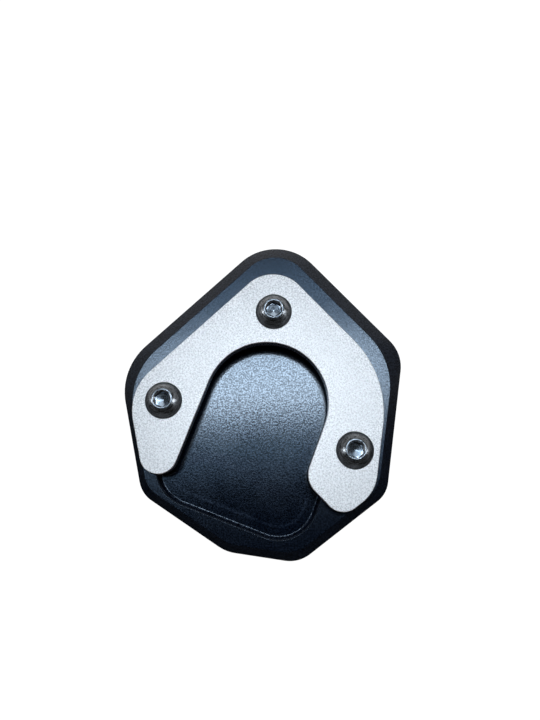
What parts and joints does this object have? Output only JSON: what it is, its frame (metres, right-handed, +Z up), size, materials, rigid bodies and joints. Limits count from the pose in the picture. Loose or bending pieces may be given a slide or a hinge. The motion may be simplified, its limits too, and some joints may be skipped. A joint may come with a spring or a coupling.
{
  "type": "side stand foot enlarger",
  "caption": "Flat black plate with a shallow pocket for a motorcycle side stand's foot, and a silver horseshoe plate bolted over it.",
  "frame": {"origin": "on the ground face, under the middle of the base plate's box", "axes": "+Z up from the ground face through the stack of plates, +Y towards the end where the plate is highest in the picture, +X to the right in the picture. The stand's foot lies turned 20.7 degrees clockwise from +Y, with its round end up."},
  "size_m": [0.0816, 0.0926, 0.0173],
  "materials": {
    "black_anodised": "bead blasted and anodised black, satin",
    "silver_anodised": "bead blasted and anodised clear, fine matt grain",
    "stainless_steel": "plain stainless steel, satin bright"
  },
  "bodies": {
    "root": {"base_plate": "black_anodised", "clamp_plate": "silver_anodised", "screw_top": "stainless_steel", "screw_left": "stainless_steel", "screw_right": "stainless_steel"}
  },
  "joints": []
}
